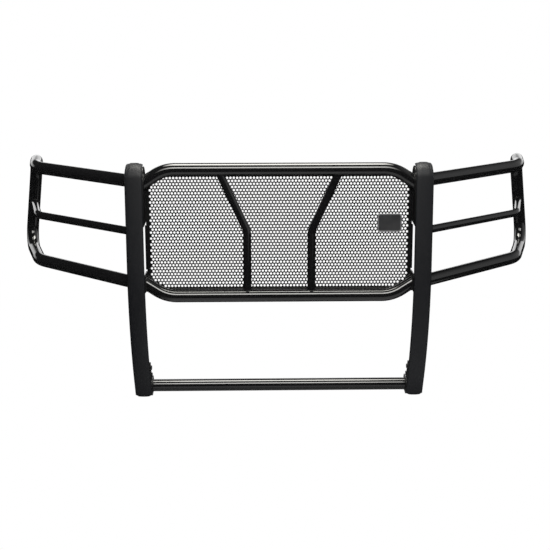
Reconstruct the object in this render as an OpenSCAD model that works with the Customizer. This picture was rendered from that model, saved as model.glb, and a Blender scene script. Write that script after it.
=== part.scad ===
// Front grille guard: two curved uprights, a tube frame with a sheet screen, and a
// wrap-around tube wing on each side. X is across, -Y is the front, Z is up.

/* [Uprights] */
// Distance between the centre lines of the two uprights
upright_spacing = 1000; // [980:5:1030]
// Width of an upright over its two side plates
upright_w = 63; // [60:1:66]
// Width of the moulded face strip
pad_w = 58; // [54:1:60]
// Thickness of the moulded face strip
pad_t = 8; // [7:1:9]
// Sheet thickness of the folded channel
channel_t = 4; // [3:0.5:5]
// Depth of the folded channel behind the strip
channel_depth = 25; // [22:1:28]
// Thickness of the side plates and gussets
plate_t = 5; // [4:1:6]
// Depth of the full-height outer side plate, which the wing tubes stand on
side_depth = 87; // [85:1:92]
// Depth of the small inner plates at the bottom tube and at the foot
inner_depth = 75; // [68:1:80]
// Depth of the upper gussets
gusset_depth = 96; // [90:1:105]
// Backward lean of the upper part, degrees
lean_top = 11; // [10:1:12]
// Backward sweep of the bottom end, degrees
sweep_bottom = 14; // [12:1:16]
// Radius of the bow between the two straight ends
bow_r = 1060; // [1000:20:1120]
// Length of the straight bottom end
tail_l = 62; // [55:1:70]
// Length of the straight upper part
upper_l = 308; // [300:2:316]
// Radius of the rounded top
top_r = 50; // [44:2:56]
// Width of the cut at the strip's two bottom corners
corner_w = 5; // [3:1:8]
// Height of the same cut
corner_h = 13; // [10:1:18]

/* [Tubes] */
// Outer diameter of the main tubes
tube_d = 45; // [42:0.5:48]
// Outer diameter of the braces and the middle wing tubes
thin_d = 28; // [26:0.5:30]
// Wall thickness of every tube
tube_wall = 2; // [1.6:0.2:3]
// Distance from the strip's face back to the axis of a tube joined to the upright
tube_set_back = 43; // [40:1:46]
// Centre-line bend radius of the main tubes
bend_r = 80; // [70:5:85]
// Centre-line bend radius of the thin tubes
thin_bend_r = 53; // [45:1:60]
// Centre-line bend radius at the ends of the two centre tubes
frame_bend_r = 130; // [100:10:150]

/* [Centre frame] */
// Height of the top tube's axis
top_z = 840; // [835:1:850]
// Height of the bottom tube's axis
bottom_z = 401; // [392:1:410]
// Half of the straight length of both tubes
straight_half = 400; // [390:1:405]
// How far both tubes step in towards each other at their ends
end_step = 44; // [40:1:48]
// Height of the lower crossbar's axis
crossbar_z = 30; // [28:1:34]
// Distance of a brace's foot from the middle
brace_foot_x = 113; // [100:1:125]
// Distance of a brace's top from the middle
brace_top_x = 213; // [200:1:225]
// Height of a brace's bend
brace_bend_z = 629; // [610:1:650]

/* [Screen] */
// Sheet thickness of the screen
screen_t = 2; // [1.5:0.5:3]
// Gap between the screen and the inner gussets
screen_gap = 1.5; // [1:0.5:4]
// How far the screen reaches past the gussets' inner sides, between them
screen_reach = 3.5; // [2:0.5:5]
// Depth of the screen's folded edges
fold_depth = 16; // [12:1:20]
// Strip of the frame left open between the screen and each tube's axis
screen_edge = 18; // [16:1:21]

/* [Wings] */
// Backward sweep of the wings seen from above, degrees
wing_sweep = 27; // [25:1:29]
// Distance from the middle to the outer end of the swept part
wing_x = 886; // [876:2:890]
// Height of the top wing tube at the upright
wing_top_z = 800; // [795:1:806]
// Height of the middle wing tube at the upright
wing_mid_z = 627; // [615:1:640]
// Height of the bottom wing tube at the upright
wing_bottom_z = 449; // [440:1:458]
// Rise of the top wing tube over its swept part
wing_top_rise = 4; // [1:1:8]
// Rise of the middle wing tube over its swept part
wing_mid_rise = 6; // [2:1:10]
// Rise of the bottom wing tube over its swept part
wing_bottom_rise = 20; // [16:1:24]
// How far the outer leg's upper corner stands above the top wing tube's corner
leg_rise = 6; // [0:1:8]
// Distance from the middle to the upper end of the outer leg
leg_top_x = 917; // [915:1:927]
// Distance from the middle to the lower end of the outer leg
leg_bottom_x = 963; // [958:1:970]
// How far the upper end of the outer leg lies behind the origin
leg_top_y = 230; // [220:1:240]
// How far the lower end of the outer leg lies behind the origin
leg_bottom_y = 204; // [196:1:212]

/* [Badge] */
// Width of the blank badge
badge_w = 85; // [78:1:90]
// Height of the blank badge
badge_h = 64; // [58:1:70]
// Distance of the badge from the middle
badge_x = 388; // [370:1:392]
// Height of the badge
badge_z = 653; // [630:1:680]

/* [Mounting] */
// Diameter of the mounting holes
mount_hole_d = 13; // [11:0.5:15]
// Distance between the two mounting holes
mount_pitch = 54; // [50:2:58]
// Height of the lower mounting hole
mount_z = 56; // [54:1:60]
// Distance from the strip's face back to the mounting holes
mount_depth = 75; // [72:1:78]
// Height of the lower foot bolt
bolt_z = 90; // [86:1:94]
// Distance between the two foot bolts
bolt_pitch = 32; // [28:1:36]
// Width across flats of the bolt heads and nuts
hex_af = 16; // [15:1:18]

/* [Hidden] */
$fn = 48;
// Gap between a tube's straight and its bend, which keeps them exact solids
seam = 0.01;
// Radius of the lug around a mounting hole
lug_r = 26;
// Y of the face line at the floor, which centres the whole guard on the origin
foot_y = -200;
half_spacing = upright_spacing / 2;
// Inner and outer side of an upright
joint_x = half_spacing - upright_w / 2;
outer_x = half_spacing + upright_w / 2;
// Angle between two points along the bow and along the rounded top
bow_step = (sweep_bottom + lean_top) / 32;
top_step = (90 - lean_top) / 12;
// Lower end, centre and upper end of the bow
bow_z0 = tail_l * cos(sweep_bottom);
bow_zc = bow_z0 + bow_r * sin(sweep_bottom);
bow_z1 = bow_zc + bow_r * sin(lean_top);
top_z0 = bow_z1 + upper_l * cos(lean_top);
bow_yc = foot_y - tail_l * sin(sweep_bottom) + bow_r * cos(sweep_bottom);
// Centre of the rounded top
top_yc = face_y(top_z0) + top_r * cos(lean_top);
top_zc = top_z0 - top_r * sin(lean_top);
frame_lean = atan((face_y(top_z) - face_y(bottom_z)) / (top_z - bottom_z));
screen_half = joint_x - screen_gap;
screen_side = joint_x + screen_reach;
// Depth of the screen's face behind the axes of the centre tubes
screen_back = thin_d / 2 + 1;
wing_z = [wing_top_z, wing_mid_z, wing_bottom_z];
wing_rise = [wing_top_rise, wing_mid_rise, wing_bottom_rise];
// Upper and lower corner of the outer leg
leg_top = [leg_top_x, leg_top_y, wing_top_z + wing_top_rise + leg_rise];
leg_bottom = [leg_bottom_x, leg_bottom_y, wing_bottom_z + wing_bottom_rise];
badge_size = [badge_w, badge_h];
// Top of the lower gusset and bottom of the upper gusset
gusset_z = [wing_bottom_z + 32, wing_top_z - 147];
// Drawing heights of the wider part of the screen
ear = [(gusset_z[0] + 8 - bottom_z) / cos(frame_lean), (gusset_z[1] - bottom_z) / cos(frame_lean)];
// Height of a bolt head
head_h = 4;

// Y of the face line at height z
function face_y(z) =
  z < bow_z0 ? foot_y - z * tan(sweep_bottom) :
  z < bow_z1 ? bow_yc - sqrt(pow(bow_r, 2) - pow(z - bow_zc, 2)) :
  bow_yc - bow_r * cos(lean_top) + (z - bow_z1) * tan(lean_top);

function unit(v) = v / norm(v);
function tube_y(z) = face_y(z) + tube_set_back;
// Y of the plane through the two centre tubes at height z
function frame_y(z) = tube_y(bottom_z) + (z - bottom_z) * tan(frame_lean);
// Corner of wing tube i, where its swept part ends
function wing_corner(i) =
  [wing_x, tube_y(wing_z[i]) + (wing_x - half_spacing) * tan(wing_sweep), wing_z[i] + wing_rise[i]];
function wing_start(i) = [half_spacing, tube_y(wing_z[i]), wing_z[i]];
// Point on the leg's axis at height z
function leg_at(z) = leg_top + (leg_bottom - leg_top) * (leg_top[2] - z) / (leg_top[2] - leg_bottom[2]);
// Length that a bend of radius r takes from each straight at corner i
function setback(p, i, r) = r * tan(acos(unit(p[i] - p[i-1]) * unit(p[i+1] - p[i])) / 2);

// Puts children, which stand along +Z, along the line from a to b
module along(a, b) {
  d = b - a;
  translate(a) rotate([0, acos(d[2] / norm(d)), atan2(d[1], d[0])]) children();
}

// Solid round bar from a to b
module rod(a, b, d) along(a, b) cylinder(d = d, h = norm(b - a));

module ring(d) difference() {
  circle(d = d);
  circle(d = d - 2 * tube_wall);
}

// Round tube that follows the points p with bends of radius r at the inner ones;
// each straight stops a seam's width short of its bends
module bent_tube(p, d, r) {
  last = len(p) - 1;
  for (i = [0 : last - 1]) {
    u = unit(p[i+1] - p[i]);
    a = p[i] + (i > 0 ? setback(p, i, r) + seam : 0) * u;
    b = p[i+1] - (i + 1 < last ? setback(p, i + 1, r) + seam : 0) * u;
    along(a, b) linear_extrude(norm(b - a)) ring(d);
  }
  for (i = [1 : last - 1]) bend(p, i, d, r);
}

// One bend of the tube at corner i
module bend(p, i, d, r) {
  u = unit(p[i] - p[i-1]);
  v = unit(p[i+1] - p[i]);
  inward = unit(v - (u * v) * u);
  side = cross(u, inward);
  centre = p[i] - setback(p, i, r) * u + r * inward;
  multmatrix([
    [-inward[0], u[0], side[0], centre[0]],
    [-inward[1], u[1], side[1], centre[1]],
    [-inward[2], u[2], side[2], centre[2]]])
    rotate_extrude(angle = acos(u * v)) translate([r, 0]) ring(d);
}

// Points [y, z] of the line that runs n behind the face, from the foot to the top
function side_line(n) = concat(
  [[foot_y + n * cos(sweep_bottom), n * sin(sweep_bottom)]],
  [for (i = [0 : 32]) let (a = i * bow_step - sweep_bottom)
    [bow_yc - (bow_r - n) * cos(a), bow_zc + (bow_r - n) * sin(a)]],
  [[face_y(top_z0) + n * cos(lean_top), top_z0 - n * sin(lean_top)]]);

// The same line, carried round the top and back by the length tail
function long_line(n, tail) = concat(
  side_line(n),
  [for (i = [1 : 12]) let (a = lean_top + i * top_step)
    [top_yc - (top_r - n) * cos(a), top_zc + (top_r - n) * sin(a)]],
  [[top_yc + tail, top_zc + top_r - n]]);

function backwards(list) = [for (i = [len(list) - 1 : -1 : 0]) list[i]];

// Side outline between the lines n0 and n1 behind the face
module side_outline(n0, n1) polygon(concat(side_line(n0), backwards(side_line(n1))));
module long_outline(n0, n1, tail) polygon(concat(long_line(n0, tail), backwards(long_line(n1, tail))));

// Extrudes a side outline (y across, z up) over the width w, centred on x
module across(x, w) translate([x - w / 2, 0, 0]) rotate([90, 0, 90]) linear_extrude(w) children();

// Part of a side outline between heights z0 and z1
module slab(z0, z1) intersection() {
  children();
  translate([-500, z0]) square([1500, z1 - z0]);
}

// Folded channel, open to the back
module channel(side) difference() {
  union() {
    across(side * half_spacing, upright_w - 2 * plate_t) long_outline(pad_t, pad_t + channel_t, 2);
    for (x = [-1, 1]) across(side * half_spacing + x * (upright_w / 2 - plate_t - channel_t / 2), channel_t)
      long_outline(pad_t, pad_t + channel_depth, 2);
  }
  bolt_holes(side);
}

module face_strip(side) difference() {
  across(side * half_spacing, pad_w) long_outline(0, pad_t, 8);
  foot_corners(side);
}

// Cutters that take the strip's two bottom corners off
module foot_corners(side)
  translate([side * half_spacing, foot_y, 0]) rotate([sweep_bottom, 0, 0]) for (m = [0, 1]) mirror([m, 0, 0])
    translate([pad_w / 2, pad_t + 1, 0]) rotate([90, 0, 0]) linear_extrude(pad_t + 2)
      polygon([[-corner_w, 0], [0, corner_h], [1, corner_h], [1, -5], [-corner_w, -5]]);

// Places a plate's outline at one side of an upright: inner (at -1) or outer (at 1)
module plate(side, at)
  across(side * half_spacing + side * at * (upright_w - plate_t) / 2, plate_t) children();

module mount_holes(side)
  for (z = [mount_z, mount_z + mount_pitch])
    translate([side * half_spacing, face_y(mount_z + mount_pitch / 2) + mount_depth, z])
      rotate([0, 90, 0]) cylinder(d = mount_hole_d, h = 2 * upright_w, center = true);

module bolt_holes(side)
  for (i = [0, 1]) bolt_place(side, i) translate([0, 0, -10]) cylinder(d = 10.4, h = 30);

// Place of foot bolt i, its axis along the outward way
module bolt_place(side, i) {
  z = bolt_z + i * bolt_pitch;
  translate([side * joint_x, face_y(z) + pad_t + 17, z]) rotate([0, side * 90, 0]) children();
}

// Full-height outer plate; the wing tubes are welded to it
module side_plate(side) difference() {
  plate(side, 1) {
    side_outline(pad_t + 2, side_depth);
    foot_lug();
    top_round(side_depth);
  }
  mount_holes(side);
}

// Rounded top of a plate of the given depth
module top_round(depth) translate([top_yc, top_zc])
  circle(r = min(top_r - pad_t - channel_t, depth - top_r - 4));

// Rounded lug around the mounting holes
module foot_lug() {
  y = face_y(mount_z + mount_pitch / 2) + mount_depth;
  translate([y - 50, mount_z - lug_r]) square([50, mount_pitch + 2 * lug_r]);
  translate([y, mount_z]) square([lug_r, mount_pitch]);
  for (z = [mount_z, mount_z + mount_pitch]) translate([y, z]) circle(r = lug_r);
}

// Inner plate at the bottom, deep where the crossbar is welded to it and narrow at its bolts
module foot_plate(side) difference() {
  plate(side, -1) {
    slab(1, bolt_z + bolt_pitch + 20) side_outline(pad_t + 2, pad_t + channel_depth);
    slab(1, crossbar_z + tube_d / 2 + 4) side_outline(pad_t + 2, inner_depth);
    translate([foot_y + pad_t + 2, 1]) square([inner_depth - pad_t - 4, crossbar_z]);
  }
  bolt_holes(side);
}

// Inner plate at the top; the centre top tube is welded to it
module upper_gusset(side) plate(side, -1) {
  slab(gusset_z[1], top_z0) side_outline(pad_t + 2, gusset_depth);
  top_round(gusset_depth);
}

// Inner plate behind the end of the centre bottom tube
module tube_gusset(side) plate(side, -1)
  slab(wing_z[2] - 25, gusset_z[0]) side_outline(pad_t + 2, inner_depth);

// Keeps what lies between the two inner plates
module between_plates() intersection() {
  children();
  translate([-joint_x, -500, -50]) cube([2 * joint_x, 1500, 1200]);
}

// Cross tube at height z whose ends step by the given amount
module frame_tube(z, step) between_plates() {
  end_y = frame_y(z + step * 1.2);
  reach = joint_x + (joint_x - straight_half) * 0.2;
  bent_tube([
    [-reach, end_y, z + step * 1.2], [-straight_half, frame_y(z), z],
    [straight_half, frame_y(z), z], [reach, end_y, z + step * 1.2]], tube_d, frame_bend_r);
}

module centre_top_tube() frame_tube(top_z, -end_step);

module centre_bottom_tube() frame_tube(bottom_z, end_step);

module lower_crossbar() {
  y = tube_y(crossbar_z);
  along([-joint_x, y, crossbar_z], [joint_x, y, crossbar_z]) linear_extrude(2 * joint_x) ring(tube_d);
}

// Thin tube from the bottom tube up and out to the top tube
module brace(side) difference() {
  bent_tube([
    [side * brace_foot_x, frame_y(bottom_z), bottom_z],
    [side * brace_foot_x, frame_y(brace_bend_z), brace_bend_z],
    [side * brace_top_x, frame_y(top_z), top_z]], thin_d, thin_bend_r);
  for (z = [bottom_z, top_z]) rod([-400, frame_y(z), z], [400, frame_y(z), z], tube_d);
}

// Places a drawing (x across, y up the frame) on the plane of the centre tubes
module on_frame() translate([0, frame_y(bottom_z), bottom_z]) rotate([90 - frame_lean, 0, 0]) children();

// Outline of the screen sheet, which is wider between the gussets
module screen_outline() {
  rise = (top_z - bottom_z) / cos(frame_lean);
  cut = straight_half + 6;
  low = screen_edge + (screen_half - cut) * end_step / (joint_x - straight_half);
  right = [
    [cut, screen_edge], [screen_half, low], [screen_half, ear[0]], [screen_side, ear[0]],
    [screen_side, ear[1]], [screen_half, ear[1]], [screen_half, rise - low], [cut, rise - screen_edge]];
  polygon(concat(right, backwards([for (p = right) [-p[0], p[1]]])));
}

// Screen sheet behind the braces, with its two side edges folded back
module screen() on_frame() {
  middle = (ear[0] + ear[1]) / 2;
  translate([0, 0, -screen_back - screen_t]) linear_extrude(screen_t) screen_outline();
  for (x = [-1, 1]) translate([x * (screen_side - screen_t / 2), middle, -screen_back - fold_depth / 2])
    cube([screen_t, ear[1] - ear[0], fold_depth], center = true);
}

// Half space outside an upright
module outside(side) intersection() {
  children();
  translate([side > 0 ? outer_x : -outer_x - 1000, -500, -50]) cube([1000, 1500, 1200]);
}

module mirror_to(side) mirror([side < 0 ? 1 : 0, 0, 0]) children();

// One tube: top run, outer leg and bottom run
module wing_hoop(side) outside(side) mirror_to(side)
  bent_tube([wing_start(0), wing_corner(0), leg_top, leg_bottom, wing_corner(2), wing_start(2)],
    tube_d, bend_r);

// Middle tube, which ends on the outer leg
module wing_mid_tube(side) outside(side) mirror_to(side) difference() {
  bent_tube([wing_start(1), wing_corner(1), leg_at(wing_z[1] + wing_rise[1])], thin_d, thin_bend_r);
  rod(leg_top, leg_bottom, tube_d);
}

// Badge frame: x and y over the sheet, z out of the sheet's face
module on_badge() on_frame()
  translate([badge_x, (badge_z - bottom_z) / cos(frame_lean), -screen_back]) children();

module rounded(size, r) {
  square([size[0] - 2 * r, size[1]], center = true);
  square([size[0], size[1] - 2 * r], center = true);
  for (x = [-1, 1], y = [-1, 1]) translate([x * (size[0] / 2 - r), y * (size[1] / 2 - r)]) circle(r = r);
}

// Blank badge with a raised rim
module badge_plate() on_badge() {
  linear_extrude(3) rounded(badge_size, 10);
  linear_extrude(5) difference() {
    rounded(badge_size, 10);
    rounded(badge_size - [8, 8], 6);
  }
}

// Clip behind the sheet that holds the badge
module badge_clip(at) on_badge() translate([at * badge_w / 4, 0, -screen_t - 3])
  linear_extrude(3) rounded([16, 40], 5);

module hex(h, bore = 0) linear_extrude(h) difference() {
  circle(d = hex_af / cos(30), $fn = 6);
  circle(d = bore);
}

// Bolt through the foot plate, its head on the inner side
module foot_bolt(side, i) bolt_place(side, i) {
  translate([0, 0, -head_h]) hex(head_h);
  cylinder(d = 10, h = plate_t + channel_t + 12);
}

module foot_nut(side, i) bolt_place(side, i)
  translate([0, 0, plate_t + channel_t]) difference() {
    hex(8);
    translate([0, 0, -1]) cylinder(d = 10, h = 10);
  }

color("#151517") channel(-1);  // left_channel
color("#151517") channel(1);  // right_channel
color("#2a2b2e") face_strip(-1);  // left_face_strip
color("#2a2b2e") face_strip(1);  // right_face_strip
color("#111112") side_plate(-1);  // left_side_plate
color("#111112") side_plate(1);  // right_side_plate
color("#111112") upper_gusset(-1);  // left_upper_gusset
color("#111112") upper_gusset(1);  // right_upper_gusset
color("#111112") tube_gusset(-1);  // left_tube_gusset
color("#111112") tube_gusset(1);  // right_tube_gusset
color("#111112") foot_plate(-1);  // left_foot_plate
color("#111112") foot_plate(1);  // right_foot_plate
color("#0c0c0d") centre_top_tube();
color("#0c0c0d") centre_bottom_tube();
color("#0c0c0d") lower_crossbar();
color("#0c0c0d") brace(-1);  // left_brace
color("#0c0c0d") brace(1);  // right_brace
color("#1a1a1b") screen();
color("#0c0c0d") wing_hoop(-1);  // left_wing_hoop
color("#0c0c0d") wing_hoop(1);  // right_wing_hoop
color("#0c0c0d") wing_mid_tube(-1);  // left_wing_mid_tube
color("#0c0c0d") wing_mid_tube(1);  // right_wing_mid_tube
color("#3a3b3d") badge_plate();
color("#1a1a1b") badge_clip(-1);  // badge_clip_left
color("#1a1a1b") badge_clip(1);  // badge_clip_right
color("#1c1c1e") foot_bolt(-1, 0);  // left_foot_bolt_lower
color("#1c1c1e") foot_bolt(-1, 1);  // left_foot_bolt_upper
color("#1c1c1e") foot_bolt(1, 0);  // right_foot_bolt_lower
color("#1c1c1e") foot_bolt(1, 1);  // right_foot_bolt_upper
color("#1c1c1e") foot_nut(-1, 0);  // left_foot_nut_lower
color("#1c1c1e") foot_nut(-1, 1);  // left_foot_nut_upper
color("#1c1c1e") foot_nut(1, 0);  // right_foot_nut_lower
color("#1c1c1e") foot_nut(1, 1);  // right_foot_nut_upper
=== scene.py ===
"""Looks of the front grille guard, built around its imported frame.

Lengths are in millimetres and repeat the frame's own driving dimensions; a mesh turns to metres
when its piece is made. Materials and the studio are in metres, as Blender is. X is across, -Y is
the front, Z is up.
"""

import math
import random

import bmesh
import bpy
from mathutils import Matrix, Vector


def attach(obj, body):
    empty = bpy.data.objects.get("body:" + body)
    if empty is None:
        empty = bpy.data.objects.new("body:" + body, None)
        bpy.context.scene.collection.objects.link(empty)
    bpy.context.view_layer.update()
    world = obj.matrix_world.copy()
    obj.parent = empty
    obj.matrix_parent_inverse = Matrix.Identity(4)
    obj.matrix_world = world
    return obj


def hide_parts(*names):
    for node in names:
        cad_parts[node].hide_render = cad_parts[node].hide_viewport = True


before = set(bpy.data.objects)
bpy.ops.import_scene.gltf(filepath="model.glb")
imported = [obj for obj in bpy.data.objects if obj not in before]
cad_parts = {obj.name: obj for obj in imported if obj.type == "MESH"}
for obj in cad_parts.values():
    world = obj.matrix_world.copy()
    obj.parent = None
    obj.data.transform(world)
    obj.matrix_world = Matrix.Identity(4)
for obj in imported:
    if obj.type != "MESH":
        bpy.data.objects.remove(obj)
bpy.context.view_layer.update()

MM = 0.001
SIDES = {"left": -1, "right": 1}

# Uprights
HALF_SPACING = 500
UPRIGHT_W = 63
PAD_W = 58
PAD_T = 8
TAIL = 62
UPPER = 308
BOW_R = 1060
TOP_R = 50
TOP_TAIL = 8
FOOT_Y = -200
SWEEP_BOTTOM = math.radians(14)
LEAN_TOP = math.radians(11)
INNER_X = HALF_SPACING - UPRIGHT_W / 2
OUTER_X = HALF_SPACING + UPRIGHT_W / 2

# Foot of the strip: its cut corners, and the rounding of its lowest edge
CORNER_W = 5
CORNER_H = 13
EDGE_INSET = 1.6
EDGE_H = 2.2

# Sections of the strip: distances up the straight foot, then steps along each later part
FOOT_PLACES = (0.0, 0.8, EDGE_H, 6.0, 12.0, CORNER_H, 34.0, 50.0)
BOW_STEPS = 48
UPPER_STEPS = 12
TOP_STEPS = 18
CORNER_STEPS = 6
CROWN_STEPS = 12

# Crown and front corners of the strip's face, and what each gains over the rounded top
CROWN = 2.2
CROWN_GAIN = 0.4
FRONT_CORNER_W = 4.5
FRONT_CORNER_W_GAIN = 7.5
FRONT_CORNER_D = 4.5
FRONT_CORNER_D_GAIN = 0.7
GAIN_TURN = math.radians(45)

# Tubes
TUBE_R = 22.5
THIN_R = 14
TUBE_SET_BACK = 43
BEND_R = 80
THIN_BEND_R = 53
FRAME_BEND_R = 130
TOP_Z = 840
BOTTOM_Z = 401
STRAIGHT_HALF = 400
END_STEP = 44
CROSSBAR_Z = 30
BRACE_FOOT_X = 113
BRACE_TOP_X = 213
BRACE_BEND_Z = 629
TUBE_SIDES = 48
HOOP_SIDES = 56
THIN_SIDES = 36

# Wings: height at the upright and rise of the top, middle and bottom tube
WING_X = 886
WING_SWEEP = math.radians(27)
WING_Z = (800, 627, 449)
WING_RISE = (4, 6, 20)
LEG_TOP = (917, 230, 810)
LEG_BOTTOM = (963, 204, 469)

# Weld beads: the ripple and unevenness are shares of the bead's radius
BEAD_R = 2.4
BEAD_SIDES = 8
BEAD_STEP = 1.1
BEAD_LEAST = 0.9
RIPPLE = 0.16
RIPPLE_PITCH = 4.2
UNEVEN = 0.05
END_TAPER = (0.35, 0.53, 0.71, 0.89)
STITCH_R = 2.0
STITCH_HALF = 14
STITCH_STEP = 4
STITCH_X = (-360, -240, -70, 70, 240, 360)

# Rounding of the sharp edges of the plates and small parts
PLATE_EDGES = {
    "channel": 1.2,
    "side_plate": 1.0,
    "upper_gusset": 1.0,
    "tube_gusset": 0.9,
    "foot_plate": 0.9,
}
BADGE_EDGE = 0.8
SMALL_EDGE = 0.6
FLAT_ANGLE = math.radians(0.2)
SHARP_ANGLE = math.radians(40)

# Screen
SCREEN_T = 2
SCREEN_GAP = 1.5
SCREEN_REACH = 3.5
SCREEN_EDGE = 18
SCREEN_BACK = THIN_R + 1
SCREEN_CORNER_X = STRAIGHT_HALF + 6
GUSSET_Z = (481, 653)
FOLD_LIFT = 8
FOLD_DEPTH = 16
FOLD_R = 3.0
FOLD_STEPS = 4
HOLE_R = 4.3
HOLE_PITCH = 11.7
ROW_PITCH = 10.6
HOLE_SIDES = 12
SIDE_MARGIN = 8
EDGE_MARGIN = 5
BLANK_REACH = 4 * HOLE_PITCH

# Depth in the screen's drawing in front of which the badge's faces belong to its raised rim
RIM_DEPTH = 3.5 - SCREEN_BACK

# Floor and studio, in metres; the backdrop's and wall's edges are parts of a unit direction
FLOOR_SIZE = 60.0
FLOOR_DROP = 0.002
FLOOR_DARK = 0.012
FLOOR_GREY = 0.55
GREY_X = (-0.70, -0.45, 1.00, 1.25)
GREY_Y = (-1.50, -1.10, -0.30, -0.12)
BOX_FADE = (0.02, 0.30, 0.70, 0.98)
ROOM_DARK = 0.03
BACKDROP = 2.0
BACKDROP_Y = (0.15, 0.45)
BACKDROP_Z = (0.25, 0.34)
RIGHT_WALL = 0.7
RIGHT_WALL_X = (0.35, 0.80)
LIGHT_AIM = (0, 0, 0.6)

# Camera
CAMERA_PLACE = (-0.0646, -3.1648, 1.587)
CAMERA_TILT = math.radians(90 - 20.5)
CAMERA_TURN = math.radians(-0.94)
SENSOR_MM = 36
LENS_MM = 58.909091
VIEW_REACH = 200

# Heights of the bow's lower end, centre and upper end, and Y of its centre
BOW_Z0 = TAIL * math.cos(SWEEP_BOTTOM)
BOW_ZC = BOW_Z0 + BOW_R * math.sin(SWEEP_BOTTOM)
BOW_Z1 = BOW_ZC + BOW_R * math.sin(LEAN_TOP)
BOW_YC = FOOT_Y - TAIL * math.sin(SWEEP_BOTTOM) + BOW_R * math.cos(SWEEP_BOTTOM)


def face_y(z):
    """Y of the strip's face at height z."""
    if z < BOW_Z0:
        return FOOT_Y - z * math.tan(SWEEP_BOTTOM)
    if z < BOW_Z1:
        return BOW_YC - math.sqrt(BOW_R ** 2 - (z - BOW_ZC) ** 2)
    return BOW_YC - BOW_R * math.cos(LEAN_TOP) + (z - BOW_Z1) * math.tan(LEAN_TOP)


def tube_y(z):
    """Y of a tube's axis, set back from the strip's face at height z."""
    return face_y(z) + TUBE_SET_BACK


FRAME_SLOPE = (face_y(TOP_Z) - face_y(BOTTOM_Z)) / (TOP_Z - BOTTOM_Z)
FRAME_LEAN = math.atan(FRAME_SLOPE)
FRAME_RISE = (TOP_Z - BOTTOM_Z) / math.cos(FRAME_LEAN)


def frame_y(z):
    """Y of the plane through the axes of the two centre tubes."""
    return tube_y(BOTTOM_Z) + (z - BOTTOM_Z) * FRAME_SLOPE


# ---------------------------------------------------------------- materials


def node_tree(name):
    """A new material with its node tree, its shader and the object's coordinates in metres."""
    material = bpy.data.materials.new(name)
    material.use_nodes = True
    tree = material.node_tree
    shader = tree.nodes["Principled BSDF"]
    place = tree.nodes.new("ShaderNodeTexCoord")
    return material, tree, shader, place.outputs["Object"]


def noise(tree, place, scale, detail):
    node = tree.nodes.new("ShaderNodeTexNoise")
    node.inputs["Scale"].default_value = scale
    node.inputs["Detail"].default_value = detail
    tree.links.new(place, node.inputs["Vector"])
    return node.outputs["Fac"]


def ramp(tree, value, low, high, start=0.3, end=0.7):
    """Runs from low to high as the value goes from start to end, which suit a noise."""
    node = tree.nodes.new("ShaderNodeMapRange")
    node.inputs["From Min"].default_value = start
    node.inputs["From Max"].default_value = end
    node.inputs["To Min"].default_value = low
    node.inputs["To Max"].default_value = high
    tree.links.new(value, node.inputs["Value"])
    return node.outputs["Result"]


def window(tree, value, edges):
    """Two ramps: one rises between the first two edges, one falls between the last two."""
    rise_start, rise_end, fall_start, fall_end = edges
    return [ramp(tree, value, 0.0, 1.0, rise_start, rise_end),
            ramp(tree, value, 1.0, 0.0, fall_start, fall_end)]


def product(tree, values):
    """The values multiplied together."""
    total = values[0]
    for value in values[1:]:
        node = tree.nodes.new("ShaderNodeMath")
        node.operation = "MULTIPLY"
        tree.links.new(total, node.inputs[0])
        tree.links.new(value, node.inputs[1])
        total = node.outputs["Value"]
    return total


def colour_mix(tree, value, dark, light):
    node = tree.nodes.new("ShaderNodeMix")
    node.data_type = "RGBA"
    node.inputs["A"].default_value = (*dark, 1)
    node.inputs["B"].default_value = (*light, 1)
    tree.links.new(value, node.inputs["Factor"])
    return node.outputs["Result"]


def shader_mix(tree, share, first, second):
    """The first shader, and the second where the share is 1."""
    node = tree.nodes.new("ShaderNodeMixShader")
    tree.links.new(share, node.inputs["Fac"])
    tree.links.new(first, node.inputs[1])
    tree.links.new(second, node.inputs[2])
    return node.outputs["Shader"]


def bump(tree, shader, height, strength, distance, before=None):
    node = tree.nodes.new("ShaderNodeBump")
    node.inputs["Strength"].default_value = strength
    node.inputs["Distance"].default_value = distance
    tree.links.new(height, node.inputs["Height"])
    if before is not None:
        tree.links.new(before, node.inputs["Normal"])
    tree.links.new(node.outputs["Normal"], shader.inputs["Normal"])
    return node.outputs["Normal"]


def powder_coat(name, rough, peel, coat=0.35, specular=0.5):
    """Black powder coat: faint orange peel, and handling haze in the gloss."""
    dark = (0.0022, 0.0022, 0.0024)
    light = (0.0042, 0.0042, 0.0045)
    material, tree, shader, place = node_tree(name)
    shader.inputs["Specular IOR Level"].default_value = specular
    shader.inputs["Coat Weight"].default_value = coat
    shader.inputs["Coat Roughness"].default_value = 0.03
    haze = noise(tree, place, scale=9.0, detail=4.0)
    tree.links.new(colour_mix(tree, haze, dark, light), shader.inputs["Base Color"])
    tree.links.new(ramp(tree, haze, *rough), shader.inputs["Roughness"])
    orange_peel = noise(tree, place, scale=420.0, detail=3.0)
    bump(tree, shader, orange_peel, strength=peel, distance=0.0002)
    return material


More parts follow.
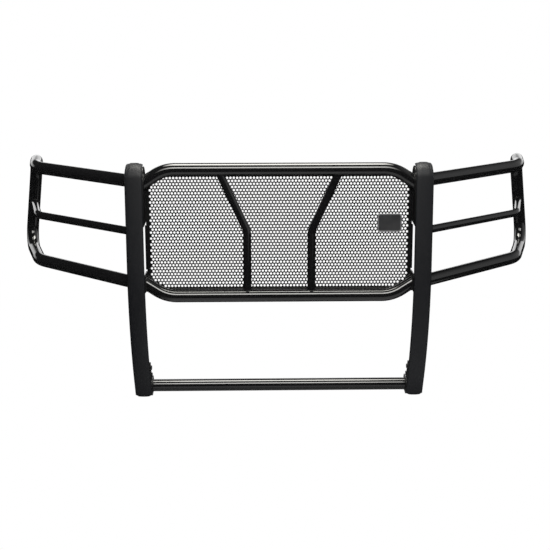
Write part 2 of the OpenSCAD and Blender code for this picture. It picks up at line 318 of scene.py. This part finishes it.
def grained_moulding(name):
    """Matte dark moulding with a fine leather grain and slow colour drift."""
    dark = (0.0011, 0.0015, 0.0030)
    light = (0.0022, 0.0027, 0.0050)
    material, tree, shader, place = node_tree(name)
    shader.inputs["Specular IOR Level"].default_value = 0.37
    drift = noise(tree, place, scale=5.0, detail=3.0)
    tree.links.new(colour_mix(tree, drift, dark, light), shader.inputs["Base Color"])
    handling = noise(tree, place, scale=60.0, detail=4.0)
    tree.links.new(ramp(tree, handling, 0.50, 0.62), shader.inputs["Roughness"])
    grain = tree.nodes.new("ShaderNodeTexVoronoi")
    grain.feature = "SMOOTH_F1"
    grain.inputs["Scale"].default_value = 620.0
    tree.links.new(place, grain.inputs["Vector"])
    pores = noise(tree, place, scale=1500.0, detail=2.0)
    fine = bump(tree, shader, pores, strength=0.25, distance=0.0002)
    bump(tree, shader, grain.outputs["Distance"], strength=0.45, distance=0.0003, before=fine)
    return material


def satin_badge(name, dark, light):
    """Satin moulding of the blank badge."""
    material, tree, shader, place = node_tree(name)
    cloud = noise(tree, place, scale=45.0, detail=4.0)
    tree.links.new(colour_mix(tree, cloud, dark, light), shader.inputs["Base Color"])
    tree.links.new(ramp(tree, cloud, 0.30, 0.42), shader.inputs["Roughness"])
    pores = noise(tree, place, scale=1800.0, detail=2.0)
    bump(tree, shader, pores, strength=0.12, distance=0.0001)
    return material


GLOSS = powder_coat("gloss_powder_coat", rough=(0.05, 0.10), peel=0.10)
PLATE = powder_coat("plate_powder_coat", rough=(0.26, 0.36), peel=0.14, coat=0.10, specular=0.35)
SHEET = powder_coat("sheet_powder_coat", rough=(0.20, 0.30), peel=0.12)
WELD = powder_coat("weld_powder_coat", rough=(0.36, 0.48), peel=0.20, coat=0.0, specular=0.25)
STRIP = grained_moulding("strip_grain")
FASTENER = powder_coat("fastener_coat", rough=(0.24, 0.36), peel=0.12, coat=0.0, specular=0.45)
BADGE = satin_badge("badge_satin", dark=(0.012, 0.012, 0.013), light=(0.022, 0.022, 0.024))
RIM = satin_badge("badge_rim_satin", dark=(0.07, 0.07, 0.073), light=(0.11, 0.11, 0.115))


# ---------------------------------------------------------------- pieces


def make_piece(name, verts, faces, material, nodes=(), smooth=math.radians(35)):
    """Makes a piece from millimetre points."""
    mesh = bpy.data.meshes.new(name)
    mesh.from_pydata([Vector(v) * MM for v in verts], [], faces)
    place_piece(name, mesh, material, nodes, smooth)


def place_piece(name, mesh, material, nodes=(), smooth=math.radians(35)):
    """Makes a piece of a mesh, smooth but for its sharp edges, and rides it on the one body."""
    bm = bmesh.new()
    bm.from_mesh(mesh)
    bmesh.ops.recalc_face_normals(bm, faces=bm.faces)
    for face in bm.faces:
        face.smooth = True
    for edge in bm.edges:
        edge.smooth = len(edge.link_faces) == 2 and edge.calc_face_angle(0) < smooth
    bm.to_mesh(mesh)
    bm.free()
    mesh.materials.append(material)
    piece = bpy.data.objects.new(name, mesh)
    bpy.context.scene.collection.objects.link(piece)
    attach(piece, "root")
    if nodes:
        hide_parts(*nodes)
    return piece


def arc_path(points, radius, step=math.radians(3)):
    """Points of a line through the given corners with each inner corner bent to the radius."""
    path = [Vector(points[0])]
    for before, corner, after in zip(points, points[1:], points[2:]):
        u = (Vector(corner) - Vector(before)).normalized()
        v = (Vector(after) - Vector(corner)).normalized()
        turn = u.angle(v)
        back = radius * math.tan(turn / 2)
        inward = (v - u.dot(v) * u).normalized()
        start = Vector(corner) - back * u
        centre = start + radius * inward
        count = max(2, math.ceil(turn / step))
        for i in range(count + 1):
            a = turn * i / count
            path.append(centre - radius * math.cos(a) * inward + radius * math.sin(a) * u)
    path.append(Vector(points[-1]))
    return path


def rings_along(path, radius, sides):
    """One ring of points for each point of the path, without twist, and the path's directions."""
    tangents = []
    for i in range(len(path)):
        ahead = path[min(i + 1, len(path) - 1)]
        behind = path[max(i - 1, 0)]
        tangents.append((ahead - behind).normalized())
    across = tangents[0].orthogonal().normalized()
    rings = []
    for i, point in enumerate(path):
        across = (across - across.dot(tangents[i]) * tangents[i]).normalized()
        other = tangents[i].cross(across)
        size = radius(i) if callable(radius) else radius
        rings.append([
            point + size * (math.cos(2 * math.pi * k / sides) * across
                            + math.sin(2 * math.pi * k / sides) * other)
            for k in range(sides)])
    return rings, tangents


def skin(rings, closed=False):
    """Faces between rings of equal length, with a cap at each end unless the rings close."""
    sides = len(rings[0])
    verts = [v for ring in rings for v in ring]
    faces = []
    spans = len(rings) if closed else len(rings) - 1
    for i in range(spans):
        a, b = i * sides, ((i + 1) % len(rings)) * sides
        for k in range(sides):
            n = (k + 1) % sides
            faces.append((a + k, a + n, b + n, b + k))
    if not closed:
        faces.append(tuple(reversed(range(sides))))
        faces.append(tuple(range(len(verts) - sides, len(verts))))
    return verts, faces


def to_plane(x):
    """A slide along a line to the plane at x."""
    return lambda point, way: point + way * ((x - point.x) / way.x)


def to_tube(a, b, radius):
    """A slide along a line to the outside of the tube from a to b."""
    axis = (b - a).normalized()

    def slide(point, way):
        p = (point - a) - (point - a).dot(axis) * axis
        w = way - way.dot(axis) * axis
        qa, qb, qc = w.dot(w), 2 * p.dot(w), p.dot(p) - radius ** 2
        root = math.sqrt(max(0.0, qb * qb - 4 * qa * qc))
        hits = [(-qb - root) / (2 * qa), (-qb + root) / (2 * qa)]
        return point + way * min(hits, key=abs)
    return slide


def spread_along(line, count, last):
    """Points along a line, count of them, where number last falls on its end."""
    lengths = [0.0]
    for a, b in zip(line, line[1:]):
        lengths.append(lengths[-1] + (b - a).length)
    path = []
    seg = 0
    for i in range(count):
        s = lengths[-1] * i / last
        while seg < len(line) - 2 and lengths[seg + 1] < s:
            seg += 1
        share = (s - lengths[seg]) / max(1e-9, lengths[seg + 1] - lengths[seg])
        path.append(line[seg].lerp(line[seg + 1], share))
    return path


def weld_bead(name, loop, size=BEAD_R, closed=True):
    """A rippled bead along a line of points on the joint, its open ends tapered."""
    total = sum((b - a).length for a, b in zip(loop, loop[1:] + loop[:1]))
    count = max(12, int(total / BEAD_STEP))
    if closed:
        path = spread_along(loop + loop[:1], count, count)
    else:
        path = spread_along(loop, count, count - 1)
    ripple = []
    for i in range(count):
        wave = abs(math.sin(math.pi * i * BEAD_STEP / RIPPLE_PITCH))
        ripple.append(size * (BEAD_LEAST + RIPPLE * wave + UNEVEN * random.uniform(-1, 1)))
    if closed:
        rings, _ = rings_along(path + path[:1], lambda i: ripple[i % count], BEAD_SIDES)
        rings = close_twist(rings)
    else:
        for i, share in enumerate(END_TAPER):
            ripple[i] *= share
            ripple[-1 - i] *= share
        rings, _ = rings_along(path, lambda i: ripple[i], BEAD_SIDES)
    verts, faces = skin(rings, closed)
    make_piece(name, verts, faces, WELD)


def close_twist(rings):
    """Turns the last ring's numbering to meet the first ring, and drops it."""
    first, last = rings[0], rings[-1]
    sides = len(first)
    shift = min(range(sides), key=lambda k: (last[k] - first[0]).length)
    count = len(rings) - 1
    turned = []
    for i, ring in enumerate(rings[:-1]):
        turn = -shift * i / count if shift <= sides / 2 else (sides - shift) * i / count
        whole = math.floor(-turn)
        part = -turn - whole
        turned.append([ring[(k + whole) % sides].lerp(ring[(k + whole + 1) % sides], part)
                       for k in range(sides)])
    return turned


def tube(name, node, points, radius, bend, ends, sides=TUBE_SIDES):
    """A bent tube whose two ends are slid to what they are welded to, with a bead at each."""
    path = arc_path(points, bend)
    rings, tangents = rings_along(path, radius, sides)
    for i, slide in ((0, ends[0]), (len(rings) - 1, ends[1])):
        rings[i] = [slide(v, tangents[i]) for v in rings[i]]
    verts, faces = skin(rings)
    make_piece(name, verts, faces, GLOSS, (node,), smooth=math.radians(60))
    weld_bead(name + "_weld_a", rings[0])
    weld_bead(name + "_weld_b", rings[-1])


UPRIGHTS = (to_plane(-INNER_X), to_plane(INNER_X))


def frame_tube(name, node, z, step):
    """A centre tube at height z whose ends step up or down to the uprights."""
    end_z = z + step
    end_y = frame_y(end_z)
    points = [(-INNER_X, end_y, end_z), (-STRAIGHT_HALF, frame_y(z), z),
              (STRAIGHT_HALF, frame_y(z), z), (INNER_X, end_y, end_z)]
    tube(name, node, points, TUBE_R, FRAME_BEND_R, UPRIGHTS)


def make_centre_frame():
    frame_tube("top_tube", "centre_top_tube", TOP_Z, -END_STEP)
    frame_tube("bottom_tube", "centre_bottom_tube", BOTTOM_Z, END_STEP)
    y = tube_y(CROSSBAR_Z)
    path = [(-INNER_X, y, CROSSBAR_Z), (INNER_X, y, CROSSBAR_Z)]
    tube("crossbar", "lower_crossbar", path, TUBE_R, BEND_R, UPRIGHTS)
    ends = []
    for z in (BOTTOM_Z, TOP_Z):
        left = Vector((-STRAIGHT_HALF, frame_y(z), z))
        right = Vector((STRAIGHT_HALF, frame_y(z), z))
        ends.append(to_tube(left, right, TUBE_R))
    for side, sign in SIDES.items():
        foot_z = BOTTOM_Z + TUBE_R
        foot = (sign * BRACE_FOOT_X, frame_y(foot_z), foot_z)
        corner = Vector((sign * BRACE_FOOT_X, frame_y(BRACE_BEND_Z), BRACE_BEND_Z))
        top = Vector((sign * BRACE_TOP_X, frame_y(TOP_Z), TOP_Z))
        end = top - (top - corner).normalized() * TUBE_R
        points = [foot, corner, end]
        tube(side + "_brace_tube", side + "_brace", points, THIN_R, THIN_BEND_R, ends, THIN_SIDES)


def wing_start(i, sign):
    """Where the axis of wing tube i meets the outer plate."""
    out = OUTER_X - HALF_SPACING
    share = out / (WING_X - HALF_SPACING)
    return Vector((sign * OUTER_X, tube_y(WING_Z[i]) + out * math.tan(WING_SWEEP),
                   WING_Z[i] + WING_RISE[i] * share))


def wing_corner(i, sign):
    """Corner of wing tube i, where its straight run from the upright meets its turn back."""
    out = WING_X - HALF_SPACING
    return Vector((sign * WING_X, tube_y(WING_Z[i]) + out * math.tan(WING_SWEEP),
                   WING_Z[i] + WING_RISE[i]))


def make_wings():
    for side, sign in SIDES.items():
        mirror = Matrix.Diagonal((sign, 1, 1))
        top = mirror @ Vector(LEG_TOP)
        bottom = mirror @ Vector(LEG_BOTTOM)
        plate = to_plane(sign * OUTER_X)
        hoop = [wing_start(0, sign), wing_corner(0, sign), top, bottom,
                wing_corner(2, sign), wing_start(2, sign)]
        tube(side + "_hoop_tube", side + "_wing_hoop", hoop, TUBE_R, BEND_R, (plate, plate),
             HOOP_SIDES)
        height = WING_Z[1] + WING_RISE[1]
        on_leg = top.lerp(bottom, (top.z - height) / (top.z - bottom.z))
        corner = wing_corner(1, sign)
        end = on_leg - (on_leg - corner).normalized() * TUBE_R
        middle = [wing_start(1, sign), corner, end]
        tube(side + "_mid_tube", side + "_wing_mid_tube", middle, THIN_R, THIN_BEND_R,
             (plate, to_tube(top, bottom, TUBE_R)), THIN_SIDES)


def face_line():
    """Places along the strip's face from the foot to the top.

    Each is y, z, the face's backward angle and the distance from the foot, which stops at TAIL.
    """
    places = []
    for s in FOOT_PLACES:
        y = FOOT_Y - s * math.sin(SWEEP_BOTTOM)
        places.append((y, s * math.cos(SWEEP_BOTTOM), -SWEEP_BOTTOM, s))
    for i in range(BOW_STEPS + 1):
        a = -SWEEP_BOTTOM + (SWEEP_BOTTOM + LEAN_TOP) * i / BOW_STEPS
        places.append((BOW_YC - BOW_R * math.cos(a), BOW_ZC + BOW_R * math.sin(a), a, TAIL))
    y1, z1 = places[-1][0], places[-1][1]
    for i in range(1, UPPER_STEPS + 1):
        s = UPPER * i / UPPER_STEPS
        places.append((y1 + s * math.sin(LEAN_TOP), z1 + s * math.cos(LEAN_TOP), LEAN_TOP, TAIL))
    y2, z2 = places[-1][0], places[-1][1]
    yc, zc = y2 + TOP_R * math.cos(LEAN_TOP), z2 - TOP_R * math.sin(LEAN_TOP)
    for i in range(1, TOP_STEPS + 1):
        a = LEAN_TOP + (math.pi / 2 - LEAN_TOP) * i / TOP_STEPS
        places.append((yc - TOP_R * math.cos(a), zc + TOP_R * math.sin(a), a, TAIL))
    places.append((yc + TOP_TAIL, zc + TOP_R, math.pi / 2, TAIL))
    return places


def strip_section(half, inset, round_top):
    """Section of the strip (x, depth): a crowned face with rounded front corners.

    The crown and corners grow as round_top goes from 0, on the face, to 1, over the top.
    """
    crown = CROWN + CROWN_GAIN * round_top
    corner = FRONT_CORNER_W + FRONT_CORNER_W_GAIN * round_top
    drop = FRONT_CORNER_D + FRONT_CORNER_D_GAIN * round_top
    half -= inset
    turn = []
    for i in range(CORNER_STEPS + 1):
        a = math.pi / 2 * i / CORNER_STEPS
        turn.append((half - corner * (1 - math.cos(a)), inset + crown + drop * (1 - math.sin(a))))
    points = [(-half, PAD_T)]
    points += [(-x, depth) for x, depth in turn]
    for i in range(1, CROWN_STEPS):
        x = (-half + corner) + (2 * half - 2 * corner) * i / CROWN_STEPS
        points.append((x, inset + crown * (x / half) ** 2))
    points += reversed(turn)
    points.append((half, PAD_T))
    return points


def make_strips():
    for side, sign in SIDES.items():
        rings = []
        for y, z, a, s in face_line():
            cut = CORNER_W * max(0.0, 1 - s / CORNER_H)
            inset = EDGE_INSET * max(0.0, 1 - s / EDGE_H) ** 2
            round_top = min(1.0, max(0.0, (a - LEAN_TOP) / GAIN_TURN))
            section = strip_section(PAD_W / 2 - cut, inset, round_top)
            rings.append([
                Vector((sign * HALF_SPACING + x, y + n * math.cos(a), z - n * math.sin(a)))
                for x, n in section])
        verts, faces = skin(rings)
        make_piece(side + "_strip", verts, faces, STRIP, (side + "_face_strip",))


def softened(name, node, width, material):
    """A copy of a CAD plate with its sharp edges rounded, which stands for it."""
    bm = bmesh.new()
    bm.from_mesh(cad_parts[node].data)
    bmesh.ops.remove_doubles(bm, verts=bm.verts, dist=1e-6)
    bmesh.ops.dissolve_limit(bm, angle_limit=FLAT_ANGLE, verts=bm.verts, edges=bm.edges)
    sharp = [e for e in bm.edges if len(e.link_faces) == 2 and e.calc_face_angle(0) > SHARP_ANGLE]
    bmesh.ops.bevel(bm, geom=sharp, offset=width * MM, segments=3, profile=0.5, affect="EDGES",
                    clamp_overlap=True)
    mesh = bpy.data.meshes.new(name)
    bm.to_mesh(mesh)
    bm.free()
    return place_piece(name, mesh, material, (node,), smooth=math.radians(32))


def make_plates():
    for side in SIDES:
        for part, width in PLATE_EDGES.items():
            node = side + "_" + part
            softened(node + "_steel", node, width, PLATE)
        for level in ("lower", "upper"):
            for part in ("bolt", "nut"):
                node = f"{side}_foot_{part}_{level}"
                softened(node + "_steel", node, SMALL_EDGE, FASTENER)
    for clip in ("left", "right"):
        node = "badge_clip_" + clip
        softened(node + "_steel", node, SMALL_EDGE, SHEET)
    badge = softened("badge_blank", "badge_plate", BADGE_EDGE, BADGE)
    badge.data.materials.append(RIM)
    to_drawing = on_frame().inverted()
    for face in badge.data.polygons:
        if (to_drawing @ (face.center / MM)).z > RIM_DEPTH:
            face.material_index = 1


# ---------------------------------------------------------------- screen


def on_frame():
    """Matrix from the screen's drawing (x across, y up, z forward) to the guard."""
    turn = Matrix.Rotation(math.pi / 2 - FRAME_LEAN, 4, "X")
    return Matrix.Translation((0, frame_y(BOTTOM_Z), BOTTOM_Z)) @ turn


def screen_outline():
    """Corners of the sheet, round from the lower left."""
    cut = SCREEN_CORNER_X
    side_x = INNER_X - SCREEN_GAP
    step = (side_x - cut) * END_STEP / (INNER_X - STRAIGHT_HALF)
    low, high = SCREEN_EDGE, FRAME_RISE - SCREEN_EDGE
    return [(-cut, low), (cut, low), (side_x, low + step), (side_x, high - step),
            (cut, high), (-cut, high), (-side_x, high - step), (-side_x, low + step)]


def depth_inside(x, y, corners):
    """Least distance from a point to a side of the outline, less that side's margin."""
    nearest = 1e9
    for (x0, y0), (x1, y1) in zip(corners, corners[1:] + corners[:1]):
        run = math.hypot(x1 - x0, y1 - y0)
        away = ((x1 - x0) * (y - y0) - (y1 - y0) * (x - x0)) / run
        margin = SIDE_MARGIN if x0 == x1 else EDGE_MARGIN
        nearest = min(nearest, away - margin)
    return nearest


def punched_sheet(bm, corners):
    """Fills the bmesh with six-sided cells, each with a round hole where there is room."""
    known = {}

    def vertex(x, y):
        key = (round(x, 3), round(y, 3))
        if key not in known:
            known[key] = bm.verts.new((x, y, 0))
        return known[key]

    high = max(y for _, y in corners)
    wide = max(x for x, _ in corners)
    rows = int(high / ROW_PITCH) + 1
    columns = int(wide / HOLE_PITCH) + 2
    top, flat = ROW_PITCH * 2 / 3, ROW_PITCH / 3
    half = HOLE_PITCH / 2
    rim = [(half, flat), (half / 2, (flat + top) / 2), (0, top), (-half / 2, (flat + top) / 2),
           (-half, flat), (-half, 0), (-half, -flat), (-half / 2, -(flat + top) / 2), (0, -top),
           (half / 2, -(flat + top) / 2), (half, -flat), (half, 0)]
    middle = high / 2
    for row in range(-rows, rows + 1):
        y = middle + row * ROW_PITCH
        for column in range(-columns, columns + 1):
            x = (column + (row % 2) / 2) * HOLE_PITCH
            outer = [vertex(x + dx, y + dy) for dx, dy in rim]
            room = depth_inside(x, y, corners)
            if room < HOLE_R:
                if room > -BLANK_REACH:
                    bm.faces.new(outer)
                continue
            inner = []
            for dx, dy in rim:
                size = HOLE_R / math.hypot(dx, dy)
                inner.append(bm.verts.new((x + dx * size, y + dy * size, 0)))
            for k in range(HOLE_SIDES):
                n = (k + 1) % HOLE_SIDES
                bm.faces.new((outer[k], outer[n], inner[n], inner[k]))


def make_screen():
    """The punched sheet, cut to its outline, folded at its sides and given its thickness."""
    corners = screen_outline()
    bm = bmesh.new()
    punched_sheet(bm, corners)
    for (x0, y0), (x1, y1) in zip(corners, corners[1:] + corners[:1]):
        away = Vector((y1 - y0, x0 - x1, 0)).normalized()
        bmesh.ops.bisect_plane(bm, geom=bm.verts[:] + bm.edges[:] + bm.faces[:], dist=1e-4,
                               plane_co=(x0, y0, 0), plane_no=away, clear_outer=True)
    bmesh.ops.remove_doubles(bm, verts=bm.verts, dist=0.01)
    fold_sides(bm, corners)
    bmesh.ops.recalc_face_normals(bm, faces=bm.faces)
    if max(bm.faces, key=lambda f: f.calc_area()).normal.z < 0:
        bmesh.ops.reverse_faces(bm, faces=bm.faces)
    mesh = bpy.data.meshes.new("screen_sheet")
    bm.to_mesh(mesh)
    bm.free()
    thick = bpy.data.objects.new("screen_draft", mesh)
    bpy.context.scene.collection.objects.link(thick)
    solid = thick.modifiers.new("sheet", "SOLIDIFY")
    solid.thickness = SCREEN_T
    solid.offset = -1
    solid.use_even_offset = True
    graph = bpy.context.evaluated_depsgraph_get()
    final = bpy.data.meshes.new_from_object(thick.evaluated_get(graph))
    bpy.data.objects.remove(thick)
    shift = Matrix.Translation((0, 0, -SCREEN_BACK))
    final.transform(Matrix.Scale(MM, 4) @ on_frame() @ shift)
    place_piece("punched_screen", final, SHEET, ("screen",), math.radians(40))


def fold_sides(bm, corners):
    """Widens the sheet between the gussets and turns its two side edges back round a radius."""
    edge_x = max(x for x, _ in corners)
    side_x = INNER_X + SCREEN_REACH
    ends = (GUSSET_Z[0] + FOLD_LIFT, GUSSET_Z[1])
    low, high = [(z - BOTTOM_Z) / math.cos(FRAME_LEAN) for z in ends]
    for sign in SIDES.values():

        def on_side(vert):
            return abs(vert.co.x - sign * edge_x) < 0.01 and low < vert.co.y < high

        edges = [e for e in bm.edges if e.is_boundary and all(on_side(v) for v in e.verts)]
        for i in range(FOLD_STEPS + 2):
            out = bmesh.ops.extrude_edge_only(bm, edges=edges)["geom"]
            edges = [g for g in out if isinstance(g, bmesh.types.BMEdge)]
            angle = math.pi / 2 * min(i, FOLD_STEPS) / FOLD_STEPS
            for vert in (g for g in out if isinstance(g, bmesh.types.BMVert)):
                vert.co.x = sign * (side_x - FOLD_R + FOLD_R * math.sin(angle))
                vert.co.z = -FOLD_R * (1 - math.cos(angle))
                if i > FOLD_STEPS:
                    vert.co.z = -FOLD_DEPTH


def make_stitch_welds():
    """Short beads behind the sheet, where it is held to the centre tubes."""
    place = on_frame()
    back = -SCREEN_BACK - SCREEN_T
    number = 0
    for y in (SCREEN_EDGE + 1, FRAME_RISE - SCREEN_EDGE - 1):
        for x in STITCH_X:
            line = [place @ Vector((x + dx, y, back))
                    for dx in range(-STITCH_HALF, STITCH_HALF + 1, STITCH_STEP)]
            weld_bead(f"stitch_weld_{number}", line, STITCH_R, closed=False)
            number += 1


# ---------------------------------------------------------------- studio


def make_floor():
    """A pale floor that the camera sees as white, and that reflects dark with a grey patch."""
    bpy.ops.mesh.primitive_plane_add(size=FLOOR_SIZE, location=(0, 0, -FLOOR_DROP))
    floor = bpy.context.object
    floor.name = "floor"
    material, tree, shader, place = node_tree("pale_floor")
    tone = noise(tree, place, scale=0.8, detail=3.0)
    tree.links.new(colour_mix(tree, tone, (0.90, 0.90, 0.90), (0.93, 0.93, 0.93)),
                   shader.inputs["Base Color"])
    shader.inputs["Roughness"].default_value = 0.9
    shader.inputs["Specular IOR Level"].default_value = 0.0
    spot = tree.nodes.new("ShaderNodeSeparateXYZ")
    tree.links.new(place, spot.inputs["Vector"])
    patch = product(tree, window(tree, spot.outputs["Y"], GREY_Y)
                    + window(tree, spot.outputs["X"], GREY_X))
    reflected = tree.nodes.new("ShaderNodeEmission")
    tree.links.new(ramp(tree, patch, FLOOR_DARK, FLOOR_GREY, 0.0, 1.0),
                   reflected.inputs["Strength"])
    white = tree.nodes.new("ShaderNodeEmission")
    rays = tree.nodes.new("ShaderNodeLightPath")
    surface = shader_mix(tree, rays.outputs["Is Glossy Ray"], shader.outputs["BSDF"],
                         reflected.outputs["Emission"])
    surface = shader_mix(tree, rays.outputs["Is Camera Ray"], surface, white.outputs["Emission"])
    tree.links.new(surface, tree.nodes["Material Output"].inputs["Surface"])
    floor.data.materials.append(material)


def soft_box(name, place, size, power, colour):
    """An area light that fades towards its left and right ends."""
    light = bpy.data.lights.new(name, "AREA")
    light.color = colour
    light.use_nodes = True
    tree = light.node_tree
    surface = tree.nodes.new("ShaderNodeNewGeometry")
    along = tree.nodes.new("ShaderNodeSeparateXYZ")
    tree.links.new(surface.outputs["Parametric"], along.inputs["Vector"])
    fade = product(tree, window(tree, along.outputs["X"], BOX_FADE))
    tree.links.new(fade, tree.nodes["Emission"].inputs["Strength"])
    light.shape = "RECTANGLE"
    light.size, light.size_y = size
    light.energy = power
    lamp = bpy.data.objects.new(name, light)
    bpy.context.scene.collection.objects.link(lamp)
    lamp.location = place
    to_aim = Vector(LIGHT_AIM) - Vector(place)
    lamp.rotation_euler = to_aim.to_track_quat("-Z", "Y").to_euler()


def make_lights():
    """White surroundings, which reflect as a dark room with two brighter sides.

    These are a white backdrop low behind the guard and a dimmer wall on its right.
    """
    world = bpy.data.worlds.new("studio")
    bpy.context.scene.world = world
    world.use_nodes = True
    tree = world.node_tree
    white = tree.nodes["Background"]
    white.inputs["Color"].default_value = (1, 1, 1, 1)
    white.inputs["Strength"].default_value = 1.0
    sky = tree.nodes.new("ShaderNodeTexCoord")
    way = tree.nodes.new("ShaderNodeSeparateXYZ")
    tree.links.new(sky.outputs["Generated"], way.inputs["Vector"])
    behind = ramp(tree, way.outputs["Y"], 0.0, 1.0, *BACKDROP_Y)
    low = ramp(tree, way.outputs["Z"], 1.0, 0.0, *BACKDROP_Z)
    backdrop = ramp(tree, product(tree, [behind, low]), ROOM_DARK, BACKDROP, 0.0, 1.0)
    right_wall = ramp(tree, way.outputs["X"], 0.0, RIGHT_WALL, *RIGHT_WALL_X)
    bright = tree.nodes.new("ShaderNodeMath")
    bright.operation = "MAXIMUM"
    tree.links.new(backdrop, bright.inputs[0])
    tree.links.new(right_wall, bright.inputs[1])
    room = tree.nodes.new("ShaderNodeBackground")
    tree.links.new(bright.outputs["Value"], room.inputs["Strength"])
    rays = tree.nodes.new("ShaderNodeLightPath")
    surroundings = shader_mix(tree, rays.outputs["Is Glossy Ray"], white.outputs["Background"],
                              room.outputs["Background"])
    tree.links.new(surroundings, tree.nodes["World Output"].inputs["Surface"])
    soft_box("front_box", place=(0, -1.96, 2.54), size=(3.0, 0.95), power=90,
             colour=(1.0, 0.99, 0.95))
    soft_box("top_box", place=(0, 0.556, 3.25), size=(3.0, 1.4), power=196,
             colour=(1.0, 0.985, 0.92))


def make_camera():
    camera = bpy.data.cameras.new("camera")
    camera.sensor_width = SENSOR_MM
    camera.lens = LENS_MM
    camera.clip_end = VIEW_REACH
    seen = bpy.data.objects.new("camera", camera)
    bpy.context.scene.collection.objects.link(seen)
    seen.location = CAMERA_PLACE
    seen.rotation_euler = (CAMERA_TILT, 0, CAMERA_TURN)
    bpy.context.scene.camera = seen


random.seed(7)
make_camera()
make_floor()
make_lights()
make_strips()
make_plates()
make_centre_frame()
make_wings()
make_screen()
make_stitch_welds()
bpy.context.scene.view_settings.view_transform = "Standard"
